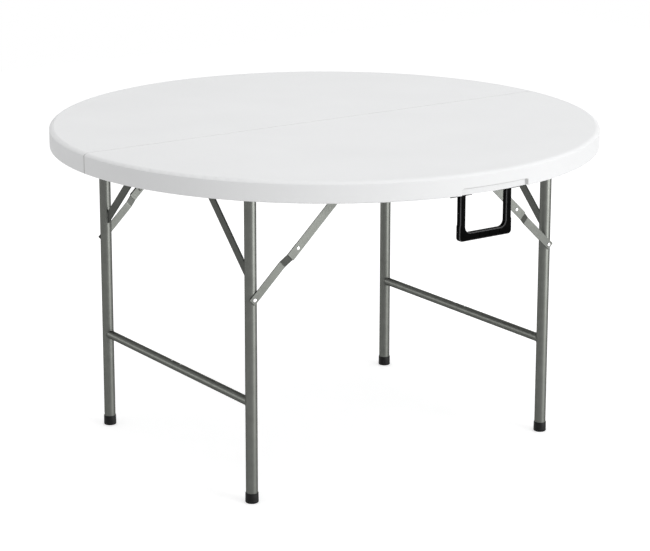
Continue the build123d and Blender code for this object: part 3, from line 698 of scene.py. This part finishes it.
def linkShape(s, link, firstHole, lastHole):
    # a flat sheet in (along, across): an end block about each hole and a grid between them, with
    # closer rows at the joggle's bends. It is bent by its depth and turned up along the brace
    steps, half = s["steps"], link["width"] / 2
    first, last = firstHole + half * s["blockShare"], lastHole - half * s["blockShare"]
    along = np.linspace(first, last, steps["length"])
    if link["joggled"]:
        near = np.linspace(-s["bendReach"], s["bendReach"], steps["bend"])
        straight = along[(along < s["joggleStart"] - s["bendClear"]) | (along == last)]
        bends = np.concatenate([s["joggleStart"] + near, s["joggleEnd"] + near])
        along = np.sort(np.concatenate([straight, bends]))
    across = np.linspace(-half, half, steps["across"] + 1)
    grid = np.stack(np.meshgrid(along, across, indexing="ij"), axis=-1).reshape(-1, 2)
    blocks = [
        endBlock(s, firstHole, first, firstHole - link["before"], half, link["corners"][0]),
        (grid, gridFaces(len(along), len(across), False)),
        endBlock(s, lastHole, last, lastHole + link["after"], half, link["corners"][1]),
    ]
    # every block's faces are turned to the same side of the sheet
    faces, count = [], 0
    for p, f in blocks:
        diagonal, other = p[f[:, 2]] - p[f[:, 0]], p[f[:, 3]] - p[f[:, 1]]
        area = np.sum(diagonal[:, 0] * other[:, 1] - diagonal[:, 1] * other[:, 0])
        faces.append((f if area > 0 else f[:, ::-1]) + count)
        count += len(p)
    flat = np.concatenate([p for p, f in blocks])
    run, rise = math.cos(corner["braceAngle"]), math.sin(corner["braceAngle"])
    points = np.stack([-corner["legX"] + flat[:, 0] * run - flat[:, 1] * rise,
                       -linkDepth(s, link, flat[:, 0]),
                       corner["rivetHeight"] + flat[:, 0] * rise + flat[:, 1] * run], axis=1)
    return points, np.concatenate(faces)


def makeLinks(s):
    for side, row in corners:
        elbow, far = corner["elbow"], corner["hanger"][side]
        for name, holes in (("lower", (0, elbow)), ("upper", (elbow, far))):
            points, faces = linkShape(s, s[name], *holes)
            piece = addPiece(f"{name}Link_{side}_{row}", (turnToCorner(points, side, row), faces),
                             "coated_steel", f"{name}_link_{side}_{row}",
                             [f"{name}_link_{side}_{row}"], sharp=0, finish="link_shaded_steel")
            thick = piece.modifiers.new("plate", "SOLIDIFY")
            thick.thickness = s["thickness"]
            thick.offset = 0
            thick.use_even_offset = True
            bevel = piece.modifiers.new("edges", "BEVEL")
            bevel.width = s["round"]
            bevel.segments = s["roundSegments"]
            bevel.limit_method = "ANGLE"
            bevel.angle_limit = math.radians(s["roundAngle"])
            bevel.harden_normals = True


makeLinks(linkSet)
print("brace links made")


# weld beads: a rippled round bead along each joint of a leg frame. strutFoot is the height at
# which the strut's middle line, at 45 degrees, crosses the leg's
beadSet = {
    "radius": 0.0016,
    "ripple": 0.10,
    "pitch": 0.0021,
    "endPower": 8,
    "sides": 10,
    "count": 96,
    "strutHalf": 0.0020,
    "strutFoot": 0.482,
    "strutWidth": 0.019,
}


def beadShape(s, path, outward, closed):
    # a circle of radius r(u) in the plane square to the path at each of its points:
    # point + r · (cos a · outward + sin a · sideways), and r ripples along the length.
    # An open bead's radius falls to nothing at both ends, as the root of 1 - share ^ endPower
    # with share from -1 to 1
    if closed:
        tangent = np.roll(path, -1, axis=0) - np.roll(path, 1, axis=0)
    else:
        tangent = np.gradient(path, axis=0)
    tangent /= np.linalg.norm(tangent, axis=1, keepdims=True)
    up = outward - np.sum(outward * tangent, axis=1, keepdims=True) * tangent
    up /= np.linalg.norm(up, axis=1, keepdims=True)
    sideways = np.cross(tangent, up)
    length = np.concatenate([[0], np.cumsum(np.linalg.norm(np.diff(path, axis=0), axis=1))])
    whole = length[-1] + (np.linalg.norm(path[0] - path[-1]) if closed else 0)
    ripples = round(whole / s["pitch"])
    radius = s["radius"] * (1 + s["ripple"] * np.sin(2 * np.pi * ripples * length / whole))
    if not closed:
        share = 2 * length / whole - 1
        radius = radius * np.sqrt(np.clip(1 - share ** s["endPower"], 0, 1))
    a = np.linspace(0, 2 * np.pi, s["sides"], endpoint=False)[None, :, None]
    points = path[:, None] + radius[:, None, None] * (
        np.cos(a) * up[:, None] + np.sin(a) * sideways[:, None])
    if closed:
        points = np.concatenate([points, points[:1]])
    return points.reshape(-1, 3), gridFaces(len(points), s["sides"], True)


def frameBeads(s, side, row):
    x, y = -corner["legX"], -corner["legY"]
    leg, bar, tube = corner["legRadius"], corner["barRadius"], corner["pivotRadius"]
    pivot = corner["pivotHeight"][side]
    a = np.linspace(0, 2 * np.pi, s["count"], endpoint=False)
    # crossbar into the leg: the bar's circle pushed on to the leg's round side
    barPath = np.stack([x + bar * np.cos(a), y + np.sqrt(leg ** 2 - (bar * np.cos(a)) ** 2),
                        corner["barHeight"] + bar * np.sin(a)], axis=1)
    # leg into the pivot tube: the leg's circle lifted on to the tube
    lift = np.sqrt(np.clip(tube ** 2 - (leg * np.cos(a)) ** 2, 0, None))
    legPath = np.stack([x + leg * np.cos(a), y + leg * np.sin(a), pivot - lift], axis=1)
    shapes = [
        beadShape(s, barPath, barPath - [x, y, corner["barHeight"]], True),
        beadShape(s, legPath, legPath - [x, y, pivot], True),
    ]
    # flat strut: a straight bead on each side, down the leg and along the tube
    count = s["count"]
    line = np.linspace(-0.5, 0.5, count) * s["strutWidth"] * math.sqrt(2)
    reach = math.sqrt(leg ** 2 - s["strutHalf"] ** 2)
    drop = math.sqrt(tube ** 2 - s["strutHalf"] ** 2)
    topY = y + pivot - s["strutFoot"] - drop
    for edge in (-1, 1):
        beadX = np.full(count, x + edge * s["strutHalf"])
        down = np.stack([beadX, np.full(count, y + reach), line + s["strutFoot"] + reach], axis=1)
        shapes.append(beadShape(s, down, np.tile([edge, 1.0, 0.0], (count, 1)), False))
        over = np.stack([beadX, line + topY, np.full(count, pivot - drop)], axis=1)
        shapes.append(beadShape(s, over, np.tile([edge, 0.0, -1.0], (count, 1)), False))
    return [(turnToCorner(p, side, row), f) for p, f in shapes]


def makeBeads(s):
    for side in ("left", "right"):
        shapes = frameBeads(s, side, "front") + frameBeads(s, side, "rear")
        addPiece(f"weldBeads_{side}", joined(shapes), "coated_steel", f"leg_frame_{side}", sharp=0)


makeBeads(beadSet)
print("weld beads made")


# end plugs: low domed caps in the open ends of the pivot tubes
plugSet = {
    "radius": 0.0104,
    "flange": 0.0004,
    "stem": 0.0094,
    "depth": 0.0090,
    "rise": 0.0014,
    "domeSteps": 8,
    "sides": 48,
}


def makePlugs(s):
    # a stem inside the tube, and a flange whose dome is a quarter ellipse
    turn = np.linspace(0, np.pi / 2, s["domeSteps"])
    dome = zip(s["radius"] * np.cos(turn), s["flange"] + (s["rise"] - s["flange"]) * np.sin(turn))
    profile = [(0, -s["depth"]), (s["stem"], -s["depth"]), (s["stem"], 0), (s["radius"], 0), *dome]
    outer = corner["legY"] + corner["legRadius"]
    for side in ("left", "right"):
        place = (-corner["legX"], -outer, corner["pivotHeight"][side])
        points, faces = revolved(profile, place, (0, -1, 0), s["sides"])
        shapes = [(turnToCorner(points, side, row), faces) for row in ("front", "rear")]
        addPiece(f"tubePlugs_{side}", joined(shapes), "black_plastic", f"leg_frame_{side}")


makePlugs(plugSet)
print("tube plugs made")


# screws: pan heads with a cross recess, pointing down, on straight shanks. Places are distances
# from the table's middle, and seat is the height of the face that the head lies against
screwSet = {
    "head": 0.0036,
    "height": 0.0018,
    "crown": 0.6,
    "shank": 0.0018,
    "length": 0.0090,
    "recess": 0.0011,
    "arm": 0.00048,
    "armSoft": 0.0002,
    "reach": 0.0020,
    "reachSoft": 0.0003,
    "innerShare": 1.15,
    "innerSteps": 12,
    "rimShare": 0.7,
    "rimSteps": 6,
    "sides": 40,
    "clip": {"x": (0.370, 0.418), "y": (0.048, 0.258), "seat": 0.699},
    "hanger": {"offset": 0.012, "y": 0.331, "seat": 0.700},
    "mount": {"x": (0.044, 0.079), "y": 0.549, "seat": 0.700},
    "hinge": {"x": (-0.276, -0.244, -0.016, 0.016, 0.244, 0.276), "y": 0.0095, "seat": 0.676},
}


def screwShape(s, x, y, seat):
    # the head's underside is at -height · sqrt(1 - crown · (r / head)²) from the seat, and the
    # cross is cut where the smaller of |x| and |y| is under arm and the radius is under reach
    r = np.concatenate([np.linspace(0, s["reach"] * s["innerShare"], s["innerSteps"]),
                        np.linspace(s["rimShare"], 1, s["rimSteps"]) * s["head"]])
    h = -s["height"] * np.sqrt(1 - s["crown"] * (r / s["head"]) ** 2)
    profile = [*zip(r, h), (s["head"], 0), (s["shank"], 0), (s["shank"], s["length"]),
               (0, s["length"])]
    points, faces = revolved(profile, (0, 0, 0), (0, 0, 1), s["sides"])
    narrow = np.abs(points[:, :2]).min(axis=1)
    radius = np.hypot(points[:, 0], points[:, 1])
    cut = (np.clip((s["arm"] - narrow) / s["armSoft"], 0, 1)
           * np.clip((s["reach"] - radius) / s["reachSoft"], 0, 1))
    points[:, 2] += s["recess"] * cut * (points[:, 2] < -s["height"] / 2)
    return points + [x, y, seat], faces


def makeScrews(s):
    clip, hanger, mount, hinge = (s[name] for name in ("clip", "hanger", "mount", "hinge"))
    under = [(across * x, -y, clip["seat"])
             for across in (-1, 1) for x in clip["x"] for y in clip["y"]]
    for across, side in ((1, "left"), (-1, "right")):
        middle = bracePoint(corner["hanger"][side])[0]
        under += [(across * (middle + way * hanger["offset"]), -hanger["y"], hanger["seat"])
                  for way in (-1, 1)]
    under += [(x, -y, z) for x, y, z in under]
    under += [(across * x, -mount["y"], mount["seat"]) for across in (-1, 1) for x in mount["x"]]
    seam = [(x, along * hinge["y"], hinge["seat"]) for x in hinge["x"] for along in (-1, 1)]
    for name, places, node in (("bracketScrewHeads", under, "bracket_screws"),
                               ("hingeScrewHeads", seam, "hinge_screws")):
        shapes = [screwShape(s, *place) for place in places]
        addPiece(name, joined(shapes), "zinc_steel", "tabletop", [node])


makeScrews(screwSet)
print("screws made")


# carrying handle: a rounded box section carried round a U, wider below its flares, with grip
# panels sunk in the bar and eyes for its axles at the top. half is half its width over the arms,
# and reach goes from the axles down to the bar's underside
handleSet = {
    "y": 0.568,
    "axisZ": 0.671,
    "half": 0.0665,
    "arm": 0.0139,
    "depth": 0.0125,
    "reach": 0.0977,
    "bar": 0.0167,
    "flare": 0.0013,
    "flareTop": 0.0618,
    "flareBottom": 0.0668,
    "flareMargin": 0.0010,
    "outerCorner": 0.0080,
    "innerCorner": 0.0140,
    "round": 0.0019,
    "roundShare": 0.8,
    "axle": 0.00235,
    "eyeTop": 84,
    "panel": {"length": 0.021, "height": 0.0088, "gap": 0.005, "depth": 0.0013, "soft": 0.0004},
    # where the paler colour is painted on the edges as a highlight
    "paintedEdgeHighlight": {"share": 0.95, "skin": 0.00001, "panelMargin": 0.001, "panelEnd": 0.045},
    "steps": {"eye": 14, "arm": 10, "flare": 16, "corner": 41, "bar": 80, "across": 22, "round": 7},
    "sharp": 50,
}


def softStep(x, start, end):
    # 3t² - 2t³, with t from 0 at start to 1 at end
    t = np.clip((x - start) / (end - start), 0, 1)
    return t * t * (3 - 2 * t)


def barMiddle(s):
    return s["axisZ"] - s["reach"] + s["bar"] / 2


def handleLines(s):
    # outer and inner line of the left half, as (x, z) from the eye down and to the middle, and the
    # half depth at each point: round eye, straight arm, soft flare, quarter circles, straight bar
    steps = s["steps"]
    bottom = s["axisZ"] - s["reach"]
    cornerZ = bottom + s["bar"] + s["innerCorner"]
    flareZ = s["axisZ"] - s["flareTop"] + s["flareMargin"]
    eye = np.radians(np.linspace(s["eyeTop"], 0, steps["eye"]))
    z = np.concatenate([s["axisZ"] + s["depth"] / 2 * np.sin(eye),
                        np.linspace(s["axisZ"], flareZ, steps["arm"])[1:],
                        np.linspace(flareZ, cornerZ, steps["flare"])[1:]])
    inX, outX = s["arm"] - s["half"], -s["half"] - s["flare"]
    outward = s["flare"] * softStep(s["axisZ"] - z, s["flareTop"], s["flareBottom"])
    armOut = np.stack([-s["half"] - outward, z], axis=1)
    armIn = np.stack([np.full(len(z), inX), z], axis=1)
    turn = np.linspace(0, np.pi / 2, steps["corner"])[1:]
    bendIn = np.stack([inX + s["innerCorner"] * (1 - np.cos(turn)),
                       cornerZ - s["innerCorner"] * np.sin(turn)], axis=1)
    # the outer line goes down, round its smaller circle and along, in even steps of its travel
    straight = cornerZ - bottom - s["outerCorner"]
    quarter = s["outerCorner"] * np.pi / 2
    along = bendIn[-1, 0] - outX - s["outerCorner"]
    travel = np.linspace(0, straight + quarter + along, steps["corner"])[1:]
    turn = np.clip((travel - straight) / s["outerCorner"], 0, np.pi / 2)
    bendOut = np.stack([outX + s["outerCorner"] * (1 - np.cos(turn))
                        + np.clip(travel - straight - quarter, 0, None),
                        cornerZ - np.minimum(travel, straight) - s["outerCorner"] * np.sin(turn)],
                       axis=1)
    x = np.linspace(bendIn[-1, 0], 0, steps["bar"])[1:]
    below, above = (np.stack([x, np.full(len(x), height)], axis=1)
                    for height in (bottom, bottom + s["bar"]))
    outer = np.concatenate([armOut, bendOut, below])
    inner = np.concatenate([armIn, bendIn, above])
    depth = np.full(len(outer), s["depth"] / 2)
    depth[:len(eye)] *= np.cos(eye)
    return outer, inner, depth


def panelDepth(s, x, height):
    # three sunk panels in a row: full depth inside each rectangle, falling softly at its edge
    p = s["panel"]
    pitch = p["length"] + p["gap"]
    nearest = x - pitch * np.clip(np.round(x / pitch), -1, 1)
    along = 1 - softStep(np.abs(nearest), p["length"] / 2 - p["soft"], p["length"] / 2 + p["soft"])
    up = 1 - softStep(np.abs(height), p["height"] / 2 - p["soft"], p["height"] / 2 + p["soft"])
    return p["depth"] * along * up


def handleShape(s):
    outer, inner, depth = handleLines(s)
    outer, inner = (np.concatenate([line, (line * [-1, 1])[-2::-1]]) for line in (outer, inner))
    depth = np.concatenate([depth, depth[-2::-1]])[:, None]
    middle, spread = (outer + inner) / 2, (outer - inner) / 2
    half = np.linalg.norm(spread, axis=1)[:, None]
    edge = np.minimum(s["round"], depth * s["roundShare"])
    # the section as (w, d), w from -half at the inner line to +half at the outer one: a quarter
    # circle at each corner, many points on the front and back faces, in one loop
    across = s["steps"]["across"]
    face = (half - edge) * np.linspace(-1, 1, across)
    turn = np.radians(np.linspace(0, 90, s["steps"]["round"]))[1:-1]
    sin, cos = edge * np.sin(turn), edge * np.cos(turn)
    flat = np.ones(across)
    ends = np.array([1.0, -1.0])
    w = [face, half - edge + sin, half * abs(ends), half - edge + cos,
         -face, edge - half - sin, -half * abs(ends), edge - half - cos]
    d = [depth * flat, depth - edge + cos, (depth - edge) * ends, edge - depth - sin,
         -depth * flat, edge - depth - cos, (edge - depth) * ends, depth - edge + sin]
    w, d = np.concatenate(w, axis=1), np.concatenate(d, axis=1)
    unit = spread / half
    x = middle[:, :1] + w * unit[:, :1]
    z = middle[:, 1:] + w * unit[:, 1:]
    sunk = panelDepth(s, x, z - barMiddle(s)) * np.isclose(np.abs(d), depth)
    d = d - np.sign(d) * sunk
    points = np.stack([x, -s["y"] - d, z], axis=-1)
    # both ends close to their middle point
    first, last = (np.broadcast_to(points[n].mean(axis=0), points[:1].shape) for n in (0, -1))
    points = np.concatenate([first, points, last])
    return points.reshape(-1, 3), gridFaces(len(points), w.shape[1], True)


def drill(piece, start, axis, radius, length, sides=40):
    # a round hole through the piece, whose mesh is kept as drilled
    profile = [(0, 0), (radius, 0), (radius, length), (0, length)]
    shape = joined([revolved(profile, start, axis, sides)])
    tool = bpy.data.objects.new("drill", makeMesh("drill", shape))
    bpy.context.scene.collection.objects.link(tool)
    hole = piece.modifiers.new("hole", "BOOLEAN")
    hole.operation = "DIFFERENCE"
    hole.solver = "EXACT"
    hole.object = tool
    bpy.context.view_layer.update()
    graph = bpy.context.evaluated_depsgraph_get()
    drilled = bpy.data.meshes.new_from_object(piece.evaluated_get(graph))
    piece.modifiers.clear()
    piece.data = drilled
    bpy.data.objects.remove(tool)


def addPaintedEdgeHighlight(s, mesh):
    # 1 at points inside the rounded edges of the front and back, away from the sunk panels: where
    # the painted highlight goes
    points = np.empty(len(mesh.vertices) * 3)
    mesh.vertices.foreach_get("co", points)
    x, y, z = points.reshape(-1, 3).T
    highlightEdge = s["paintedEdgeHighlight"]
    inward = s["depth"] / 2 - np.abs(y + s["y"])
    onEdge = (inward < highlightEdge["share"] * s["round"]) & (inward > highlightEdge["skin"])
    panelTop = s["panel"]["height"] / 2 + highlightEdge["panelMargin"]
    onPanel = (np.abs(z - barMiddle(s)) < panelTop) & (np.abs(x) < highlightEdge["panelEnd"])
    paintedEdgeHighlight = mesh.attributes.new("paintedEdgeHighlight", "FLOAT", "POINT")
    paintedEdgeHighlight.data.foreach_set("value", (onEdge & ~onPanel & (z < s["axisZ"])).astype(float))


def makeHandle(s):
    piece = addPiece("carryHandle", joined([handleShape(s)]), "black_plastic", "handle",
                     ["handle"], sharp=0)
    drill(piece, (-2 * s["half"], -s["y"], s["axisZ"]), (1, 0, 0), s["axle"], 4 * s["half"])
    piece.data.set_sharp_from_angle(angle=math.radians(s["sharp"]))
    addPaintedEdgeHighlight(s, piece.data)


makeHandle(handleSet)
print("handle made")

bpy.context.scene.view_settings.view_transform = "Standard"
